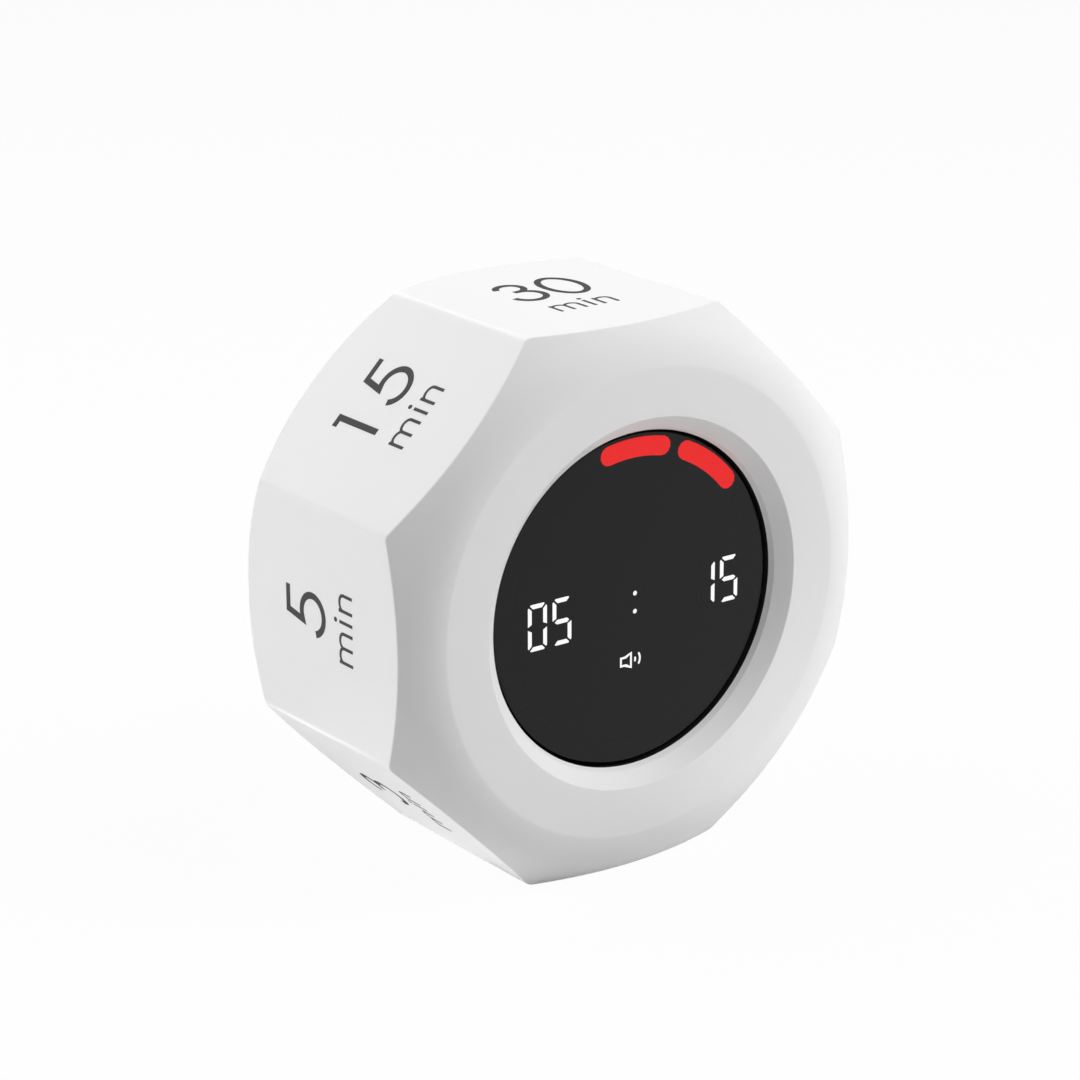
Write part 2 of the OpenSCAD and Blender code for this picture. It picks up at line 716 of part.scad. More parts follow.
module boost_inductor() {
    color([0.25, 0.25, 0.26]) standing()
        translate([inductor_at[0], inductor_at[1], board_bottom - inductor_size[2]]) {
        flange = inductor_size[2] / 4;
        prism(rounded(inductor_size[0], inductor_size[1], 0.8), 0, flange);
        prism(rounded(inductor_size[0], inductor_size[1], 0.8), inductor_size[2] - flange, flange);
        cylinder(d = inductor_size[0] - 1.2, h = inductor_size[2]);
    }
}

// Round buzzer with its sound hole toward the back
module buzzer() {
    color([0.1, 0.1, 0.11]) standing() translate([0, buzzer_y, wall]) difference() {
        rotate_extrude() polygon([
            [0, 0], [buzzer_d / 2 - 0.5, 0], [buzzer_d / 2, 0.5], [buzzer_d / 2, buzzer_h], [0, buzzer_h]
        ]);
        translate([0, 0, -1]) cylinder(r = sound_hole_r + 0.3, h = 2);
    }
}

// Metal-cased slide switch with a slot that the slider's stem runs in
module switch_body() {
    color("silver") standing() translate([0, switch_y, 0]) difference() {
        box(switch_len, switch_w, switch_z, switch_h);
        box(stem_len + switch_travel + 2 * switch_gap, stem_w + 2 * switch_gap, switch_z - 1,
            1 + stem_end + switch_gap);
    }
}

// Slider: a ribbed pad in the dish and a stem into the switch
module sound_switch() {
    ribs = 3;
    rib_pitch = pad_len / (ribs + 1);
    color([0.25, 0.25, 0.27]) standing() translate([0, switch_y, 0]) difference() {
        union() {
            prism(rounded(pad_len, pad_w, pad_round), pad_bottom, pad_top - pad_bottom);
            box(stem_len, stem_w, pad_bottom + 0.3, switch_z + stem_end - pad_bottom - 0.3);
        }
        for (k = [0:ribs]) translate([(k - ribs / 2) * rib_pitch, 0, 0])
            box(rib_pitch / 2, pad_w - 1.2, pad_bottom - 1, 1.25);
    }
}

module switch_board() {
    color("seagreen") standing() translate([0, switch_y, 0]) difference() {
        prism(rounded(switch_board_w, switch_board_h, 0.6), switch_board_z, board_t / 2);
        for (x = [-1, 1]) translate([x * switch_screw_x, 0, switch_board_z - 1])
            cylinder(r = small_screw_d / 2 + screw_gap, h = board_t + 2);
    }
}

module switch_board_screws() {
    color("silver") standing() for (x = [-1, 1])
        translate([x * switch_screw_x, switch_y, switch_board_z + board_t / 2]) rotate([180, 0, 0])
        screw(small_screw_d, small_head_d, small_head_h, switch_board_z + board_t / 2 - wall - 0.3);
}

// A cell along x, button at the +x end, its full length centred on x = 0
module cell() {
    r = cell_d / 2;
    body = cell_len - button_h;
    translate([-cell_len / 2, 0, 0]) rotate([0, 90, 0]) rotate_extrude() polygon([
        [0, 0], [r - 0.8, 0], [r - 0.8, 0.3], [r - 0.2, 0.3], [r, 0.5], [r, body - 0.8],
        [r - 0.4, body - 0.3],
        [r - 1.2, body - 0.3], [r - 1.2, body], [button_d / 2, body], [button_d / 2, cell_len - 0.2],
        [button_d / 2 - 0.2, cell_len], [0, cell_len]
    ]);
}

// Cells lie against the contact at their button end, which leaves the spring's length at the other
cell_shift = bay_x - contact_t - end_gap - cell_len / 2;

module cell_upper() {
    color("goldenrod") standing() translate([cell_shift, cell_y, cell_z]) cell();
}

module cell_lower() {
    color("goldenrod") standing() translate([-cell_shift, -cell_y, cell_z]) rotate(180) cell();
}

// Conical contact spring: centre line along x, base on the plate and tip on the cell's flat end
spring_rings = turn_rings * spring_turns;
spring_run = spring_len - spring_wire - 2 * end_gap;
function spring_radius(t) = spring_base + (spring_tip - spring_base) * t;
function spring_point(t) =
    let (a = 360 * spring_turns * t)
    [spring_run * t, spring_radius(t) * cos(a), spring_radius(t) * sin(a)];
spring_path = [for (i = [0:spring_rings]) spring_point(i / spring_rings)];
spring_self_gap = min([for (i = [0:spring_rings]) for (j = [i + turn_rings / 2:1:spring_rings])
    norm(spring_path[i] - spring_path[j])]) - spring_wire;
echo("least gap of a contact spring to itself", spring_self_gap);

module contact_spring() {
    points = [for (i = [0:spring_rings]) for (k = [0:spring_sides - 1])
        let (a = 360 * spring_turns * i / spring_rings, b = 360 * k / spring_sides, w = spring_wire / 2)
        spring_path[i] + w * [sin(b), cos(b) * cos(a), cos(b) * sin(a)]];
    n = spring_sides;
    sides = [for (i = [0:spring_rings - 1]) for (k = [0:n - 1]) for (half = [0, 1])
        let (p = i * n + k, q = i * n + (k + 1) % n)
        half == 0 ? [p, q, q + n] : [p, q + n, p + n]];
    last = spring_rings * n;
    caps = [for (k = [1:n - 2]) for (end = [0, 1])
        end == 0 ? [0, k + 1, k] : [last, last + k, last + k + 1]];
    polyhedron(points, concat(sides, caps));
}

module contact_springs() {
    start = bay_x - contact_t - end_gap - spring_wire / 2;
    color("silver") standing() {
        translate([-start, cell_y, cell_z]) contact_spring();
        translate([start, -cell_y, cell_z]) rotate(180) contact_spring();
    }
}

// A contact plate on the +x end wall, with a tab through the bay's floor
module end_contact(y, dimple) {
    plate_x = bay_x - contact_t;
    translate([plate_x, y - plate_w / 2, cell_z - plate_h / 2]) cube([contact_t, plate_w, plate_h]);
    translate([plate_x, y - tab_w / 2, cell_z]) cube([contact_t, tab_w, tab_top - cell_z]);
    if (dimple) translate([plate_x - dimple_h / 3, y, cell_z]) rotate([0, 90, 0])
        cylinder(r = dimple_r, h = contact_t);
}

module positive_contact() {
    color("silver") standing() end_contact(cell_y, true);
}

module negative_contact() {
    color("silver") standing() end_contact(-cell_y, false);
}

// One plate across the -x end wall that joins the two cells
module bridge_contact() {
    strap_h = 3;
    color("silver") standing() translate([-bay_x, 0, 0]) {
        for (side = [-1, 1]) translate([0, side * cell_y - plate_w / 2, cell_z - plate_h / 2])
            cube([contact_t, plate_w, plate_h]);
        translate([0, -cell_y, cell_z - strap_h]) cube([contact_t, 2 * cell_y, strap_h]);
        translate([dimple_h / 3, -cell_y, cell_z]) rotate([0, 90, 0]) cylinder(r = dimple_r, h = contact_t);
    }
}

// Battery door: plate with a round upper edge, tongues, latch tab between two slits, and grip bars
module battery_door() {
    plate_h = hinge_y + door_y;
    color("white") standing() difference() {
        union() {
            intersection() {
                prism(rounded(2 * door_x, 2 * door_y, door_round), 0, door_t);
                translate([-door_x, -door_y, -1]) cube([2 * door_x, plate_h, door_t + 2]);
            }
            translate([-door_x, hinge_y, hinge_r]) rotate([0, 90, 0]) cylinder(r = hinge_r, h = 2 * door_x);
            for (x = [-1, 1]) translate([x * tongue_x - tongue_w / 2, tongue_root, 0]) {
                translate([0, 0, door_t / 2]) cube([tongue_w, tongue_leg, tongue_z + tongue_t - door_t / 2]);
                translate([0, 0, tongue_z]) cube([tongue_w, tongue_tip - tongue_root, tongue_t]);
            }
        }
        translate([0, -door_y - door_gap / 2, scoop_depth - scoop_r]) sphere(r = scoop_r);
        for (x = [-1, 1]) translate([x * latch_w / 2 - latch_slit / 2, -door_y - 1, -1])
            cube([latch_slit, latch_len + 1, door_t + 2]);
        for (k = [0:grip_count - 1]) translate([-latch_w / 2 + 2, latch_len - door_y + k * grip_pitch, -1])
            cube([latch_w - 4, grip_pitch / 2, grip_h + 1]);
    }
}

// Foam strip on the door that keeps the cells quiet
module door_pad() {
    color("dimgray") standing() translate([0, 0, door_t]) box(2 * (bay_x - foam_margin), foam_w, 0, foam_t);
}

module magnets() {
    color("silver") standing() for (spot = magnet_spots) translate([spot[0], spot[1], magnet_skin])
        rotate_extrude() polygon([
            [0, 0], [magnet_d / 2 - 0.2, 0], [magnet_d / 2, 0.2], [magnet_d / 2, magnet_h - 0.2],
            [magnet_d / 2 - 0.2, magnet_h], [0, magnet_h]
        ]);
}

// Leads from the battery tabs, the buzzer and the switch board up to the main board
module lead_wires() {
    starts = concat(
        [for (side = [-1, 1]) [bay_x - contact_t / 2, side * cell_y, tab_top]],
        [for (side = [-1, 1]) [side * buzzer_d / 4, buzzer_y, wall + buzzer_h]],
        [for (k = [-1:1]) [k * switch_len / 4, switch_y, switch_board_z + board_t / 2]]
    );
    color("firebrick") standing() for (start = starts) translate(start)
        cylinder(d = wire_d, h = board_bottom - start[2]);
}

front_housing();
rear_cover();
case_screws();
display_bezel();
display_lens();
lit_digit_windows();
dark_digit_windows();
colon_windows();
sound_icon_windows();
lit_progress_windows();
dark_progress_windows();
lens_adhesive();
light_reflector();
led_chips();
main_board();
board_screws();
controller_chip();
motion_sensor();
clock_crystal();
boost_inductor();
buzzer();
switch_body();
sound_switch();
switch_board();
switch_board_screws();
cell_upper();
cell_lower();
contact_springs();
bridge_contact();
positive_contact();
negative_contact();
battery_door();
door_pad();
magnets();
lead_wires();
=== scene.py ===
import bpy
import numpy as np
from mathutils import Matrix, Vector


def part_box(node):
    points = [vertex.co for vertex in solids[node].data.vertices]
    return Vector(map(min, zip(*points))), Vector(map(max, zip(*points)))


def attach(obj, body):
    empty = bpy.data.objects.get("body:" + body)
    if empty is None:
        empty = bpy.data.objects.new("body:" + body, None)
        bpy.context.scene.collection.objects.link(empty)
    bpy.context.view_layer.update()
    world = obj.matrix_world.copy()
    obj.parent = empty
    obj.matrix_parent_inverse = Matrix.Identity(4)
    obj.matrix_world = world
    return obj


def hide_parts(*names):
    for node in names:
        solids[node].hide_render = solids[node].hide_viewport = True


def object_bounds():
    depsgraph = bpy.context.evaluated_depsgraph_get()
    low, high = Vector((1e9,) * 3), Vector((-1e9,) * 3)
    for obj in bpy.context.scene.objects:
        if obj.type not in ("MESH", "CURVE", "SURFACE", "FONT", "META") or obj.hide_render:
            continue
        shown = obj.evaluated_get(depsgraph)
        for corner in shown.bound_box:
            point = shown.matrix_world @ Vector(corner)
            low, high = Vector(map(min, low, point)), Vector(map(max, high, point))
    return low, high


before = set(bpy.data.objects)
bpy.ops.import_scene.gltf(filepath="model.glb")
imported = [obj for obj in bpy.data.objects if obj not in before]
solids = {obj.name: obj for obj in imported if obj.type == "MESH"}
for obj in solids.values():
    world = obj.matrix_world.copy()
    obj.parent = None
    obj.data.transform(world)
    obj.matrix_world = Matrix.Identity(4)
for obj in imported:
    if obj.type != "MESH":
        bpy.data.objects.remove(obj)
solid_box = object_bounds()

# Front housing: one white moulding in the shape of a nut, with eight flat faces, a crowned
# chamfer turned across their front edges and a conical recess round the display. The mould
# leaves a soft edge everywhere, and the faces carry a fine even grain.

low, high = (np.array(corner) * 1000 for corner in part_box("front_housing"))
apothem = (high[0] - low[0]) / 2
front_y, parting_y = low[1], high[1]
half_face = np.radians(22.5)
front_wall, side_wall = 2.6, 2.0
chamfer_width, ring_width, cone_width, cone_depth, lip_width = 8.8, 6.7, 1.95, 1.85, 0.4
ring_r = apothem / np.cos(half_face) - chamfer_width
recess_r = ring_r - ring_width
cone_r = recess_r - cone_width
lip_r = cone_r - lip_width
edge_r, rim_r, cone_round, recess_round = 1.8, 0.4, 0.12, 0.22
ring_bend, crown_bend, crown_slopes, crown_run = 2.0, 11.1, (10, 38), 6.0
ring_short, bend_early = 0.2, 0.175


def nut_outline(reach, edge):
    """Points round an octagon whose flats lie at the distance reach, with corners of radius edge:
    each flat runs to its tangent points, and each corner is an arc that turns through 45 degrees."""
    flat_steps, corner_steps, end_step, end_margin = 27, 10, 0.03, 0.08
    span = (reach - edge) * np.tan(half_face)
    inner = np.linspace(-1, 1, flat_steps)[1:-1] * (span - end_margin)
    flat = reach + 1j * np.concatenate([[-span, -span + end_step], inner, [span - end_step, span]])
    turn = np.radians(np.linspace(0, 45, corner_steps)[1:-1])
    corner = (reach - edge) * (1 + 1j * np.tan(half_face)) + edge * np.exp(1j * turn)
    side = np.concatenate([flat, corner])
    points = (side[None, :] * np.exp(1j * np.pi / 4 * np.arange(8))[:, None]).ravel()
    return np.angle(points), np.abs(points)


def rounded_path(corners, radii, steps=7):
    """A polyline with an arc in place of each inner corner: the arc touches both sides, so it
    starts and ends at the distance radius / tan(half the angle) from the corner."""
    corners = np.array(corners, float)
    path = [corners[:1]]
    for before, here, after, radius in zip(corners, corners[1:], corners[2:], radii):
        u, v = before - here, after - here
        u, v = u / np.linalg.norm(u), v / np.linalg.norm(v)
        half = np.arccos(np.clip(u @ v, -1, 1)) / 2
        middle = here + (u + v) / np.linalg.norm(u + v) * radius / np.sin(half)
        start, end = (here + side * radius / np.tan(half) - middle for side in (u, v))
        share = np.linspace(0, 1, steps)[:, None]
        arc = start * (1 - share) + end * share
        path.append(middle + arc / np.linalg.norm(arc, axis=1)[:, None] * radius)
    path.append(corners[-1:])
    return np.concatenate(path)


def crown_profile():
    """Slope, radius, depth and length along the crown: a short bend from the flat ring to the first
    slope, a wide one to the last slope and a straight run. A bend of radius b moves out by
    b * d(sin slope) and down by -b * d(cos slope)."""
    ring_steps, crown_steps = 9, 60
    first, last = crown_slopes
    short, wide = np.linspace(0, first, ring_steps), np.linspace(first, last, crown_steps)
    slope = np.radians(np.concatenate([short, wide[1:], [last]]))
    bend = np.repeat([ring_bend, crown_bend], [ring_steps - 1, crown_steps - 1])
    step_r = np.append(bend * np.diff(np.sin(slope[:-1])), crown_run)
    step_d = np.append(bend * -np.diff(np.cos(slope[:-1])), crown_run * np.tan(slope[-1]))
    radius = ring_r - bend_early + np.append(0, np.cumsum(step_r))
    depth = np.append(0, np.cumsum(step_d))
    length = np.append(0, np.cumsum(np.hypot(step_r, step_d)))
    return slope, radius, depth, length


def housing_skin():
    """Rows run from the lip of the recess over the ring and the crown to a face, down that face to
    the parting line and back inside. Each column follows the crown until it is one rim radius short
    of the octagon, then turns down through the rim."""
    near, near_rows, far_rows, rim_rows = 0.06, 7, 22, 9
    side_rows = np.array([0.002, 0.3, 0.6, 1])
    shoulder, recess_land, lip_land, back_fall = 3.2, 1, 0.6, 0.1
    angle, reach = nut_outline(apothem, edge_r)
    flat = np.ones_like(reach)
    recess = [(lip_r, front_wall), (cone_r, cone_depth), (recess_r, 0), (ring_r - ring_short, 0)]
    inside = rounded_path(recess, [cone_round, recess_round])
    slope, crown_r, crown_d, length = crown_profile()
    stop = np.interp(reach - rim_r, crown_r - rim_r * np.sin(slope), length)
    share = np.concatenate([np.linspace(0, near, near_rows), np.linspace(near, 1, far_rows)[1:]])
    along = share[:, None] * stop
    top_r, top_d = np.interp(along, length, crown_r), np.interp(along, length, crown_d)
    stop_slope = np.interp(stop, length, slope)
    middle_d = np.interp(stop, length, crown_d) + rim_r * np.cos(stop_slope)
    turn = stop_slope + np.linspace(0, 1, rim_rows)[1:, None] * (np.pi / 2 - stop_slope)
    rim, rim_d = reach - rim_r + rim_r * np.sin(turn), middle_d - rim_r * np.cos(turn)
    depth = parting_y - front_y
    side, side_d = reach * np.ones((len(side_rows), 1)), middle_d + side_rows[:, None] * (depth - middle_d)
    inner = reach * (apothem - side_wall) / apothem
    back_r = [inner, inner, (recess_r + recess_land) * flat, (lip_r + lip_land) * flat]
    back_d = [depth * flat, middle_d + shoulder, (front_wall + back_fall) * flat, front_wall * flat]
    radius = np.concatenate([inside[:, :1] * flat, top_r, rim, side, back_r])
    d = np.concatenate([inside[:, 1:] * flat, top_d, rim_d, side_d, back_d])
    return np.stack([radius * np.cos(angle), front_y + d, apothem + radius * np.sin(angle)], -1)


def piece(name, points, faces, smooth=True):
    """An object at the origin from points in millimetres, with its edges sharp past 30 degrees."""
    mesh = bpy.data.meshes.new(name)
    mesh.from_pydata((points / 1000).tolist(), [], faces)
    mesh.polygons.foreach_set("use_smooth", np.full(len(mesh.polygons), smooth))
    mesh.set_sharp_from_angle(angle=np.radians(30))
    made = bpy.data.objects.new(name, mesh)
    bpy.context.scene.collection.objects.link(made)
    return made


def ring_piece(name, points):
    """A piece from a grid of points that closes on itself both ways."""
    index = np.arange(points[..., 0].size).reshape(points.shape[:2])
    below, beside = np.roll(index, -1, 0), np.roll(index, -1, 1)
    quads = np.stack([index, below, np.roll(below, -1, 1), beside], -1)
    return piece(name, points.reshape(-1, 3), quads.reshape(-1, 4).tolist())


housing = ring_piece("housing_shell", housing_skin())


class Term:
    """One shader socket. Arithmetic on terms and numbers adds Math nodes to its tree."""

    def __init__(self, tree, socket=None):
        self.tree, self.socket = tree, socket

    def node(self, kind, settings=(), inputs=(), out=0):
        """Adds a node: its settings are set first, then its sockets get values or links."""
        made = self.tree.nodes.new("ShaderNode" + kind)
        for key, value in dict(settings).items():
            setattr(made, key, value)
        for key, value in dict(inputs).items():
            if isinstance(value, Term):
                self.tree.links.new(value.socket, made.inputs[key])
            else:
                made.inputs[key].default_value = value
        return Term(self.tree, made.outputs[out] if made.outputs else None)

    def math(self, operation, a, b=0.0):
        """Adds a Math node on one or two values."""
        return self.node("Math", {"operation": operation}, {0: a, 1: b})

    def blend(self, share, first, second):
        """Mixes two colours, which are a Mix node's sockets 6 and 7 in, and 2 out."""
        return self.node("Mix", {"data_type": "RGBA"}, {0: share, 6: first, 7: second}, out=2)

    def __add__(self, other):
        return self.math("ADD", self, other)

    def __mul__(self, other):
        return self.math("MULTIPLY", self, other)

    def __sub__(self, other):
        return self.math("SUBTRACT", self, other)

    def __rsub__(self, other):
        return self.math("SUBTRACT", other, self)

    __radd__ = __add__
    __rmul__ = __mul__


def new_finish(name):
    """An empty material and the term that its nodes grow from."""
    material = bpy.data.materials.new(name)
    material.use_nodes = True
    material.node_tree.nodes.clear()
    return material, Term(material.node_tree)


def moulded(name, dark, light, rough, spread, grain, relief, **shine):
    """Moulded plastic: colour drifts from dark to light over centimetres, and a fine grain of the
    size grain, in metres, varies the roughness by spread and lifts the surface by relief."""
    material, root = new_finish(name)
    place = root.node("TexCoord", out="Object")
    drift = root.node("TexNoise", {}, {"Vector": place, "Scale": 45.0, "Detail": 3.0})
    fine = root.node("TexNoise", {}, {"Vector": place, "Scale": 1 / grain, "Detail": 2.0})
    colour = root.blend(drift, (*dark, 1), (*light, 1))
    lift = root.node("Bump", {}, {"Height": fine, "Strength": 1.0, "Distance": relief})
    body = root.node("BsdfPrincipled", {}, {
        "Base Color": colour, "Roughness": rough + spread * (fine - 0.5), "Normal": lift, **shine})
    root.node("OutputMaterial", {}, {"Surface": body})
    return material


def dressed(made, material, slot, body, *nodes):
    """Gives a new piece its finish, the body it rides on and the solids it stands for. The argument
    slot is not used."""
    made.data.materials.clear()
    made.data.materials.append(material)
    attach(made, body)
    if nodes:
        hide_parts(*nodes)


white_shell = moulded("white_shell", (0.84, 0.84, 0.84), (0.86, 0.86, 0.86),
                      rough=0.42, spread=0.1, grain=0.00022, relief=0.000002, IOR=1.46)
dressed(housing, white_shell, "white_shell", "case", "front_housing")

# Rear cover and battery door: mouldings of the same white plastic. The cover carries the screws,
# the battery bay and the switch, and the door turns on its rounded upper edge. Their edges are
# broken by a fraction of a millimetre, as a polished mould leaves them.

shell_round = 0.15
# The latch tab's half width, the height of its end and the door's lowest place, in metres.
latch_half, latch_band, latch_z = 0.0055, 0.001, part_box("battery_door")[0][2]


def read(items, key, width=1, kind=np.float32):
    """One value or vector for each item of a mesh, as an array."""
    values = np.zeros(len(items) * width, kind)
    items.foreach_get(key, values)
    return values.reshape(-1, width).squeeze()


def softened(name, node, width):
    """A merged copy of a solid. Each edge where a face that looks back meets a wall that drops from
    it gets a round of the given width: the wall is square to the face and lies in front of the edge.
    The latch tab's end keeps its edges, because the finger scoop lies too close for a round."""
    merge_gap, same_plane, square, straight = 0.000002, np.radians(0.3), 0.05, 0.9999
    made = bpy.data.objects.new(name, solids[node].data.copy())
    bpy.context.scene.collection.objects.link(made)
    made.modifiers.new("merge", "WELD").merge_threshold = merge_gap
    flat = made.modifiers.new("flat", "DECIMATE")
    flat.decimate_type, flat.angle_limit = "DISSOLVE", same_plane
    mesh = bpy.data.meshes.new_from_object(made.evaluated_get(bpy.context.evaluated_depsgraph_get()))
    made.modifiers.clear()
    made.data = mesh
    owner = np.repeat(np.arange(len(mesh.polygons)), read(mesh.polygons, "loop_total", 1, np.int32))
    edge = read(mesh.loops, "edge_index", 1, np.int32)
    ends = read(mesh.vertices, "co", 3)[read(mesh.edges, "vertices", 2, np.int32)]
    looks_back = read(mesh.polygons, "normal", 3)[owner, 1]
    in_front = read(mesh.polygons, "center", 3)[owner, 1] < ends[edge, 0, 1]
    drops = (np.abs(looks_back) < square) & in_front
    rounded = np.bincount(edge[looks_back > straight], minlength=len(mesh.edges)) > 0
    rounded &= np.bincount(edge[drops], minlength=len(mesh.edges)) > 0
    latch = np.abs(ends[..., 0]).max(1) < latch_half
    rounded &= ~(latch & (np.abs(ends[..., 2].min(1) - latch_z) < latch_band))
    weight = mesh.attributes.new("bevel_weight_edge", "FLOAT", "EDGE")
    weight.data.foreach_set("value", rounded.astype(np.float32))
    soft = made.modifiers.new("soft", "BEVEL")
    soft.width, soft.segments, soft.limit_method = width / 1000, 3, "WEIGHT"
    soft.use_clamp_overlap, soft.harden_normals = False, True
    made.modifiers.new("close", "WELD").merge_threshold = merge_gap
    return made


rear_shell = softened("rear_shell", "rear_cover", shell_round)
dressed(rear_shell, white_shell, "white_shell", "case", "rear_cover")
battery_lid = softened("battery_lid", "battery_door", shell_round)
dressed(battery_lid, white_shell, "white_shell", "door", "battery_door")

# Minutes on the side faces: pad-printed in dark grey, a number with its unit below, each read
# with the display toward the reader. The ink stands a few hundredths of a millimetre high.

ink_width, small_ink, ink_height, ink_step = 0.95, 0.45, 0.02, 0.001
number_base, unit_base = 19.5, 12.9
dot_x, dot_y, dot_r = 1.5, 16.8, 0.34


def line(*points):
    """A stroke through the points."""
    return np.array(points, float)


def arc(x, y, rx, ry, start, end, steps=48):
    """Part of an ellipse about (x, y), from one angle in degrees to another."""
    turn = np.radians(np.linspace(start, end, steps))
    return np.stack([x + rx * np.cos(turn), y + ry * np.sin(turn)], -1)


def number_strokes():
    """Strokes of the digits, in millimetres, on a baseline at 0 with a height of 9."""
    return {
        "0": [arc(0, 4.4, 2.68, 4.33, 90, 450, 72)],
        "1": [line((-1.45, 8.55), (0, 8.55), (0, 0))],
        "3": [arc(0, 6.95, 1.95, 1.85, 172, -90), arc(0, 2.75, 2.42, 2.42, 90, -174),
              line((-0.6, 5.13), (0.3, 5.13))],
        "4": [line((1.2, 0), (1.2, 8.55), (-2.9, 2.3), (2.7, 2.3))],
        "5": [np.concatenate([line((2.8, 8.58), (-0.64, 8.58), (-1.27, 5.06)),
                              arc(0, 2.75, 2.62, 2.62, 100, -165, 56)])],
        "6": [arc(0, 2.75, 2.6, 2.6, 90, 450, 60), arc(2.9, 2.4, 5.5, 6.2, 180, 112)],
    }


def unit_strokes():
    """The unit in small letters: stems, and half-round arches between them."""
    arches = [arc(x, 2.1, half, 0.8, 0, 180, 20) for x, half in ((-3.05, 1.0), (-1.06, 1.0), (4.12, 1.07))]
    stems = [line((x, 0), (x, top)) for x, top in
             ((-4.05, 3.1), (-2.05, 2.1), (-0.06, 2.1), (1.47, 3.0), (3.05, 3.1), (5.2, 2.1))]
    return arches + stems


def ribbon(path, width, height):
    """A four-cornered bar carried along a path: each side lies half the width off, along the mean
    of its neighbours' normals lengthened to a mitre."""
    ahead = np.diff(path, axis=0)
    ahead /= np.linalg.norm(ahead, axis=1)[:, None]
    normal = np.stack([-ahead[:, 1], ahead[:, 0]], -1)
    before, after = np.vstack([normal[:1], normal]), np.vstack([normal, normal[-1:]])
    mitre = (before + after) / (1 + (before * after).sum(1))[:, None]
    side = mitre * np.reshape(width, (-1, 1)) / 2
    rise = np.ones((len(path), 1))
    return np.stack([np.hstack([path + s * side, rise * h]) for s, h in
                     ((1, -height), (-1, -height), (-1, height), (1, height))], 1)


def bar_piece(name, bars, smooth=True):
    """One piece of many closed bars, each a grid of sections by corners with flat ends."""
    points, faces, count = [], [], 0
    for bar in bars:
        index = count + np.arange(bar[..., 0].size).reshape(bar.shape[:2])
        beside = np.roll(index, -1, 1)
        faces += np.stack([index[:-1], index[1:], beside[1:], beside[:-1]], -1).reshape(-1, 4).tolist()
        faces += [index[0].tolist(), index[-1, ::-1].tolist()]
        points.append(bar.reshape(-1, 3))
        count += index.size
    return piece(name, np.concatenate(points), faces, smooth)


def face_marks(angle, shift, digits):
    """Bars of one face's marks: (s, y, height) goes to the face at that angle, where s runs the way
    the number reads and y from the display toward the back. The dot is a stroke whose width follows
    a circle. Each stroke is a little higher than the one before, so no two tops lie in one plane."""
    dot_steps, dot_end = 13, 0.98
    glyphs = number_strokes()
    strokes = [(stroke + (x, number_base), ink_width) for mark, x in digits for stroke in glyphs[mark]]
    strokes += [(stroke + (0, unit_base), small_ink) for stroke in unit_strokes()]
    across = np.linspace(-dot_end, dot_end, dot_steps)
    dot = np.stack([dot_x + dot_r * across, np.full(dot_steps, dot_y)], -1)
    strokes.append((dot, 2 * dot_r * np.sqrt(1 - across**2)))
    bars = [ribbon(path + (shift, 0), width, ink_height + ink_step * k)
            for k, (path, width) in enumerate(strokes)]
    turn = np.radians(angle)
    out = np.array([np.cos(turn), 0, np.sin(turn)])
    along = np.array([np.sin(turn), 0, -np.cos(turn)])
    start = np.array([0, front_y, apothem]) + out * apothem
    return [start + bar[..., :1] * along + bar[..., 1:2] * (0, 1, 0) + bar[..., 2:] * out for bar in bars]


# Each face's angle in degrees, the shift of its marks, and its digits with their places.
numbers = {
    90: (0, [("3", -2.8), ("0", 4.1)]),
    135: (0, [("1", -3.38), ("5", 3.4)]),
    180: (0, [("5", 0.5)]),
    225: (-1.6, [("3", 0.5)]),
    270: (0, [("1", 0.6)]),
    0: (0, [("6", -2.8), ("0", 4.1)]),
    45: (0, [("4", -2.8), ("5", 4.0)]),
}
mark_bars = [bar for angle, mark in numbers.items() for bar in face_marks(angle, *mark)]
grey_ink = moulded("grey_ink", (0.08, 0.08, 0.083), (0.1, 0.1, 0.103),
                   rough=0.6, spread=0.1, grain=0.0001, relief=0.0000005, IOR=1.02)
dressed(bar_piece("face_numbers", mark_bars, smooth=False), grey_ink, "switch_grey", "case")

# Display: a matt black sleeve under the recess's lip, and in it a polished black lens with a
# rounded edge. Light windows lie flush in the lens, and those that are off look like the lens.

lens_ior = 1.31


def paint(material, *names):
    """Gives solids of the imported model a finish."""
    for name in names:
        solids[name].data.materials.clear()
        solids[name].data.materials.append(material)


black_sleeve = moulded("black_sleeve", (0.006, 0.006, 0.006), (0.009, 0.009, 0.009),
                       rough=0.6, spread=0.1, grain=0.0002, relief=0.000002, IOR=1.4)
paint(black_sleeve, "display_bezel")


def lens_finish():
    """Polished black that clouds a little over millimetres."""
    material, root = new_finish("gloss_black")
    place = root.node("TexCoord", out="Object")
    cloud = root.node("TexNoise", {}, {"Vector": place, "Scale": 250.0, "Detail": 2.0})
    body = root.node("BsdfPrincipled", {}, {
        "Base Color": (0.0025, 0.0025, 0.0025, 1), "Roughness": 0.05 + 0.02 * (cloud - 0.5), "IOR": lens_ior})
    root.node("OutputMaterial", {}, {"Surface": body})
    return material


paint(lens_finish(), "display_lens", "dark_digit_windows", "dark_progress_windows")


def lit(name, edge, middle):
    """A window lit from behind: its light drifts a little between two colours over millimetres."""
    material, root = new_finish(name)
    place = root.node("TexCoord", out="Object")
    drift = root.node("TexNoise", {}, {"Vector": place, "Scale": 400.0, "Detail": 2.0})
    glow = root.blend(drift, (*edge, 1), (*middle, 1))
    body = root.node("BsdfPrincipled", {}, {
        "Base Color": (0.01, 0.01, 0.01, 1), "Roughness": 0.08, "IOR": lens_ior,
        "Emission Color": glow, "Emission Strength": 1.0})
    root.node("OutputMaterial", {}, {"Surface": body})
    return material


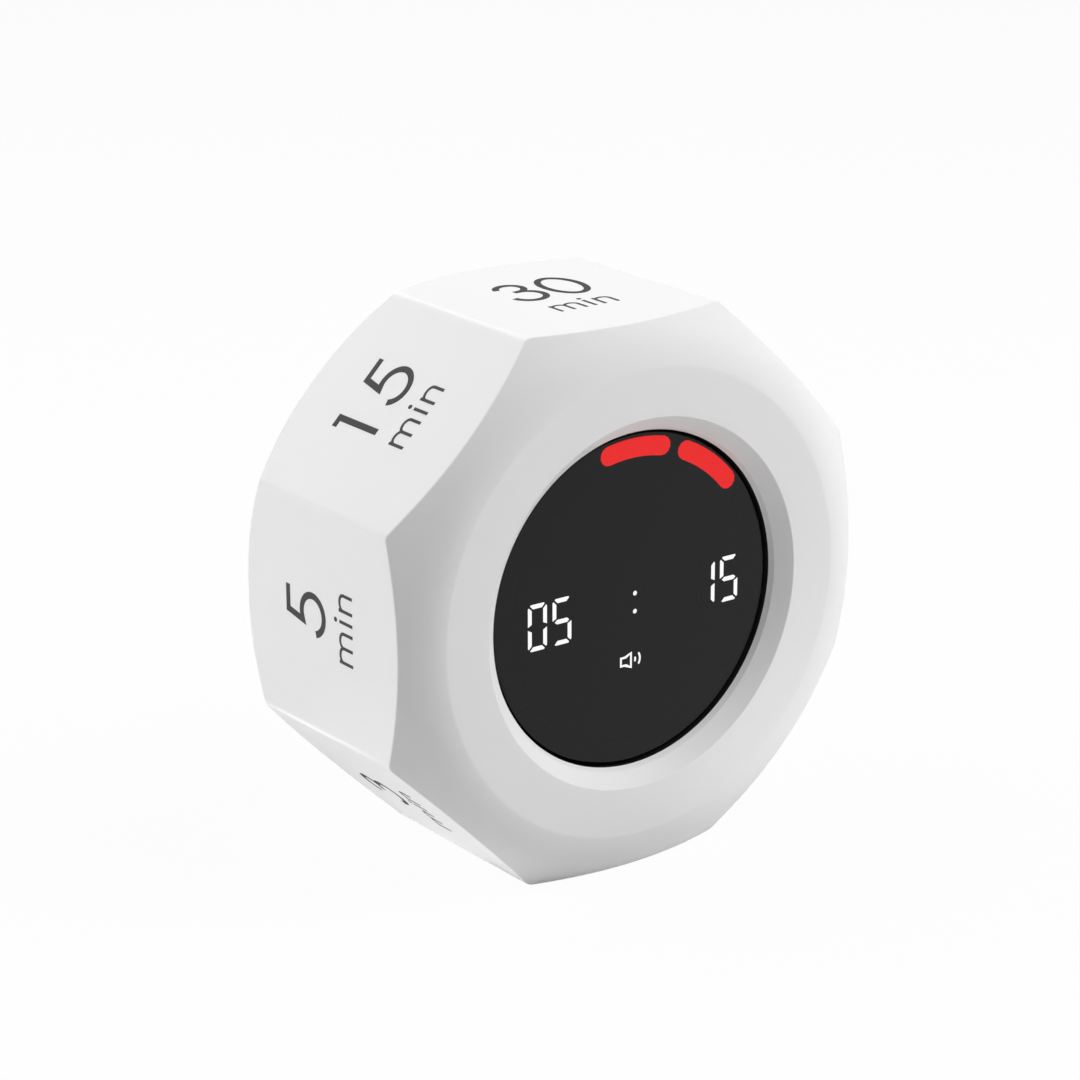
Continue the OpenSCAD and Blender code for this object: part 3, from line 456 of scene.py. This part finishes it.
lit_white = lit("lit_white", (0.93, 0.94, 0.96), (0.98, 0.98, 0.98))
paint(lit_white, "lit_digit_windows", "colon_windows", "sound_icon_windows")
lit_red = lit("lit_red", (0.78, 0.004, 0.004), (0.82, 0.006, 0.006))
paint(lit_red, "lit_progress_windows")

# Behind the lens: its adhesive ring, the pale light block with a shaft to each window, and the
# boards with their lights, chips, buzzer and leads.

adhesive = moulded("adhesive", (0.05, 0.05, 0.05), (0.08, 0.08, 0.08),
                   rough=0.7, spread=0.1, grain=0.0003, relief=0.000004)
paint(adhesive, "lens_adhesive")
light_block = moulded("light_block", (0.7, 0.7, 0.7), (0.76, 0.76, 0.76),
                      rough=0.5, spread=0.1, grain=0.0003, relief=0.000003)
paint(light_block, "light_reflector")
led_resin = moulded("led_resin", (0.75, 0.68, 0.35), (0.85, 0.8, 0.5),
                    rough=0.2, spread=0.1, grain=0.0002, relief=0.000002)
paint(led_resin, "led_chips")
board_green = moulded("board_green", (0.015, 0.13, 0.055), (0.02, 0.17, 0.075),
                      rough=0.35, spread=0.15, grain=0.0004, relief=0.000006, **{"Coat Weight": 0.3})
paint(board_green, "main_board", "switch_board")
chip_black = moulded("chip_black", (0.02, 0.02, 0.022), (0.035, 0.035, 0.038),
                     rough=0.55, spread=0.15, grain=0.00015, relief=0.000004)
paint(chip_black, "controller_chip", "motion_sensor", "boost_inductor", "buzzer")
wire_red = moulded("wire_red", (0.32, 0.02, 0.015), (0.4, 0.03, 0.02),
                   rough=0.4, spread=0.1, grain=0.0003, relief=0.000002)
paint(wire_red, "lead_wires")

# Metal pieces: screws and contacts of plated steel, nickel-coated magnets, the crystal's can and
# the switch's case, all with fine rolling marks.


def plated(name, dark, light, rough, pull):
    """Plated metal: marks drawn out along one direction vary its tone and gloss. The scale pull is
    lowest along the marks."""
    material, root = new_finish(name)
    place = root.node("TexCoord", out="Object")
    drawn = root.node("Mapping", {}, {"Vector": place, "Scale": pull})
    streak = root.node("TexNoise", {}, {"Vector": drawn, "Scale": 1.0, "Detail": 4.0})
    colour = root.blend(streak, (*dark, 1), (*light, 1))
    lift = root.node("Bump", {}, {"Height": streak, "Strength": 0.5, "Distance": 0.000004})
    body = root.node("BsdfPrincipled", {}, {
        "Base Color": colour, "Metallic": 1.0, "Roughness": rough + 0.15 * (streak - 0.5), "Normal": lift})
    root.node("OutputMaterial", {}, {"Surface": body})
    return material


screw_steel = plated("screw_steel", (0.5, 0.5, 0.5), (0.62, 0.62, 0.61), rough=0.32, pull=(2500, 2500, 900))
paint(screw_steel, "case_screws", "board_screws", "switch_board_screws")
nickel = plated("nickel", (0.62, 0.6, 0.55), (0.72, 0.7, 0.65), rough=0.28, pull=(900, 4000, 4000))
paint(nickel, "clock_crystal", "switch_body", "magnets")
paint(nickel, "bridge_contact", "positive_contact", "negative_contact")

# Contact springs: two tapered coils, each wound from one length of plated wire. The wide end
# stands on a contact at the end of the bay, and the narrow end presses on a cell's flat end.

wire_r, coil_turns, coil_run, coil_wide, coil_narrow = 0.3, 3.5, 3.4, 3.2, 2.2
coil_start, cell_offset, cell_depth = 24.05, 5.55, 7.65
back_y = solid_box[1][1] * 1000


def coil(side):
    """A wire of round section along a helix that narrows: at t from 0 to 1 its radius goes from wide
    to narrow while it turns and runs along x, and the section turns with it."""
    wire_steps, section_steps = 113, 13
    t = np.linspace(0, 1, wire_steps)[:, None]
    turn = 2 * np.pi * coil_turns * t
    around = np.linspace(0, 2 * np.pi, section_steps)[None, :-1]
    reach = coil_wide + (coil_narrow - coil_wide) * t + wire_r * np.cos(around)
    x = -coil_start + coil_run * t + wire_r * np.sin(around)
    across, up = reach * np.cos(turn), reach * np.sin(turn)
    return np.stack([side * x, back_y - cell_depth - up, apothem + side * (cell_offset + across)], -1)


springs = bar_piece("contact_coils", [coil(1), coil(-1)])
dressed(springs, nickel, "plated_metal", "case", "contact_springs")

# Sound switch: a dark grey moulded slider with three ridges for the finger. Its pad runs in a
# dish of the rear cover, and its stem runs in the slot of the metal-cased switch behind.

pad_round = 0.1
switch_grey = moulded("switch_grey", (0.035, 0.035, 0.038), (0.05, 0.05, 0.053),
                      rough=0.45, spread=0.15, grain=0.00018, relief=0.000004)
slider = softened("switch_slider", "sound_switch", pad_round)
dressed(slider, switch_grey, "switch_grey", "switch", "sound_switch")

# Two AAA cells, each in a plain printed sleeve with a pale band at its button end and bare steel
# beyond the sleeve, and the soft foam strip on the door that holds them.

sleeve_end, band_start = 21.3, 12.5


def sleeved():
    """Dark film up to the distance sleeve_end from the middle and steel past it. The band lies toward
    +X on the upper cell and toward -X on the lower one, so the side of the axis gives its sign."""
    material, root = new_finish("cell_sleeve")
    place = root.node("TexCoord", out="Object")
    along, up = (root.node("SeparateXYZ", {}, {0: place}, out=axis) for axis in "XZ")
    toward_button = along * root.math("SIGN", up - apothem / 1000)
    band = root.math("GREATER_THAN", toward_button, band_start / 1000)
    steel = root.math("GREATER_THAN", root.math("ABSOLUTE", along), sleeve_end / 1000)
    drawn = root.node("Mapping", {}, {"Vector": place, "Scale": (300, 3000, 3000)})
    streak = root.node("TexNoise", {}, {"Vector": drawn, "Scale": 1.0, "Detail": 3.0})
    film = root.blend(streak, (0.03, 0.032, 0.036, 1), (0.05, 0.052, 0.058, 1))
    sleeve = root.blend(band, film, (0.5, 0.5, 0.5, 1))
    colour = root.blend(steel, sleeve, (0.62, 0.61, 0.58, 1))
    body = root.node("BsdfPrincipled", {}, {
        "Base Color": colour, "Metallic": steel, "Roughness": 0.28 + 0.1 * (streak - 0.5)})
    root.node("OutputMaterial", {}, {"Surface": body})
    return material


paint(sleeved(), "cell_upper", "cell_lower")
foam_low, foam_high = (np.array(corner) * 1000 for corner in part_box("door_pad"))


def foam_strip():
    """A pillow between the strip's lowest and highest corners: in each direction the cosine and sine
    of two angles are raised to a small power, which fills the box and rounds its edges."""
    rows, columns, pole = 41, 97, 0.499
    power_x, power_y, power_z = 0.12, 0.5, 0.25

    def full(wave, power):
        return np.sign(wave) * np.abs(wave) ** power

    v = np.linspace(-pole, pole, rows)[:, None] * np.pi
    u = np.linspace(0, 2 * np.pi, columns)[None, :-1]
    ring, height = full(np.cos(v), power_y), full(np.sin(v), power_y) + 0 * u
    unit = np.stack([ring * full(np.cos(u), power_x), height, ring * full(np.sin(u), power_z)], -1)
    return (foam_low + foam_high) / 2 + unit * (foam_high - foam_low) / 2


foam = moulded("foam", (0.03, 0.03, 0.032), (0.06, 0.06, 0.062),
               rough=0.85, spread=0.1, grain=0.0005, relief=0.00006)
foam_pad = bar_piece("door_foam", [foam_strip()])
dressed(foam_pad, foam, "foam", "door", "door_pad")

# Table top and light: a pale floor in a white surround, large soft lamps that leave the camera's
# side dimmer, and small white cards on the table that send light up to the lower faces.

scene = bpy.context.scene
floor_half, floor_show = 4, 0.96
floor_corners = [(x * floor_half, y * floor_half, 0) for x, y in ((-1, -1), (1, -1), (1, 1), (-1, 1))]
floor_mesh = bpy.data.meshes.new("floor")
floor_mesh.from_pydata(floor_corners, [], [(0, 1, 2, 3)])
floor = bpy.data.objects.new("floor", floor_mesh)
scene.collection.objects.link(floor)


def seen_directly(root):
    """One for rays from the camera and for those that gloss or glass sends on, and nothing for light."""
    ray_kinds = ("Is Camera Ray", "Is Glossy Ray", "Is Transmission Ray")
    camera_ray, gloss_ray, glass_ray = (root.node("LightPath", out=kind) for kind in ray_kinds)
    return root.math("MAXIMUM", camera_ray, root.math("MAXIMUM", gloss_ray, glass_ray))


floor_finish, root = new_finish("pale_floor")
matt = root.node("BsdfDiffuse", {}, {"Color": (0.75, 0.75, 0.75, 1)})
bright = root.node("Emission", {}, {"Color": (1, 1, 1, 1), "Strength": 1.0})
floor_mix = root.node("MixShader", {}, {0: seen_directly(root) * floor_show, 1: matt, 2: bright})
root.node("OutputMaterial", {}, {"Surface": floor_mix})
floor_mesh.materials.append(floor_finish)

world = bpy.data.worlds.new("surround")
scene.world = world
world.use_nodes = True
world.node_tree.nodes.clear()
root = Term(world.node_tree)
air = root.node("Background", {}, {"Color": (1, 1, 1, 1), "Strength": 0.0})
sheet = root.node("Background", {}, {"Color": (1, 1, 1, 1), "Strength": 1.0})
surround = root.node("MixShader", {}, {0: seen_directly(root), 1: air, 2: sheet})
root.node("OutputWorld", {}, {"Surface": surround})


def set_up(made, axes, place):
    """Puts an object at a place in metres, with its own x, y and z along the given axes."""
    turn = np.eye(4)
    turn[:3, :3], turn[:3, 3] = np.stack(axes, 1), place
    made.matrix_world = Matrix(turn.tolist())


def lamp(name, place, ahead, size, power, gloss):
    """A square soft lamp at a place, in metres, that shines ahead. The camera doesn't see it, and it
    either lights surfaces or shows only in their gloss. Its sides are square to the line askew, along
    which no lamp shines."""
    askew = (0.1, 1, 0.05)
    data = bpy.data.lights.new(name, "AREA")
    data.shape, data.size, data.energy = "SQUARE", size, power
    made = bpy.data.objects.new(name, data)
    scene.collection.objects.link(made)
    side = np.cross(askew, -ahead)
    side /= np.linalg.norm(side)
    set_up(made, [side, np.cross(-ahead, side), -ahead], place)
    made.visible_camera = False
    made.visible_glossy, made.visible_diffuse = gloss, not gloss


lamp_distance = 0.7
for name, direction, size, power, gloss in (
        ("left_back_lamp", (-0.8, 0.6, 0.3), 0.5, 2.32, False),
        ("left_low_lamp", (-1, 0.25, 0.04), 0.5, 0.76, False),
        ("left_top_lamp", (-0.5, 0.5, 0.7), 0.5, 1.3, False),
        ("back_top_lamp", (0, 0.5, 0.85), 0.5, 1.06, False),
        ("right_front_lamp", (0.75, -0.65, 0.25), 0.5, 0.4, False),
        ("right_low_lamp", (0.9, -0.4, 0.02), 0.5, 0.35, False),
        ("right_top_lamp", (0.5, -0.5, 0.8), 0.5, 4.25, False),
        ("edge_lamp", (0.18, 0.76, 0.616), 0.16, 0.3, True)):
    outward = np.array(direction, float) / np.linalg.norm(direction)
    lamp(name, outward * lamp_distance + (0, 0, apothem / 1000), -outward, size, power, gloss)
card_z, upward = 0.0005, np.array([0, 0, 1.0])
for name, x, y, size, power, gloss in (
        ("left_card", -0.027, 0.003, 0.022, 0.00044, False),
        ("left_front_card", -0.031, -0.008, 0.024, 0.0006, False),
        ("right_front_card", 0.03, -0.048, 0.04, 0.0037, False),
        ("edge_card", -0.05, 0.03, 0.016, 0.0045, True)):
    lamp(name, (x, y, card_z), upward, size, power, gloss)

# Camera at the photograph's angle, with its heading, dip and roll in degrees and its place in
# millimetres from the middle of the front, in a square frame.

heading, dip, roll = np.radians([36.68, 18.61, -0.12])
camera_x, camera_y, camera_z = -262.87, -329.41, 150.97
ahead = np.array([np.cos(dip) * np.sin(heading), np.cos(dip) * np.cos(heading), -np.sin(dip)])
level = np.array([np.cos(heading), -np.sin(heading), 0])
rise = np.cross(level, ahead)
across, upright = np.cos(roll) * level + np.sin(roll) * rise, np.cos(roll) * rise - np.sin(roll) * level
optics = bpy.data.cameras.new("camera")
optics.sensor_width, optics.lens = 36, 112.9
camera = bpy.data.objects.new("camera", optics)
scene.collection.objects.link(camera)
camera_place = np.array([camera_x, camera_y + front_y, camera_z + apothem]) / 1000
set_up(camera, [across, upright, -ahead], camera_place)
scene.camera = camera
scene.view_settings.view_transform = "Standard"
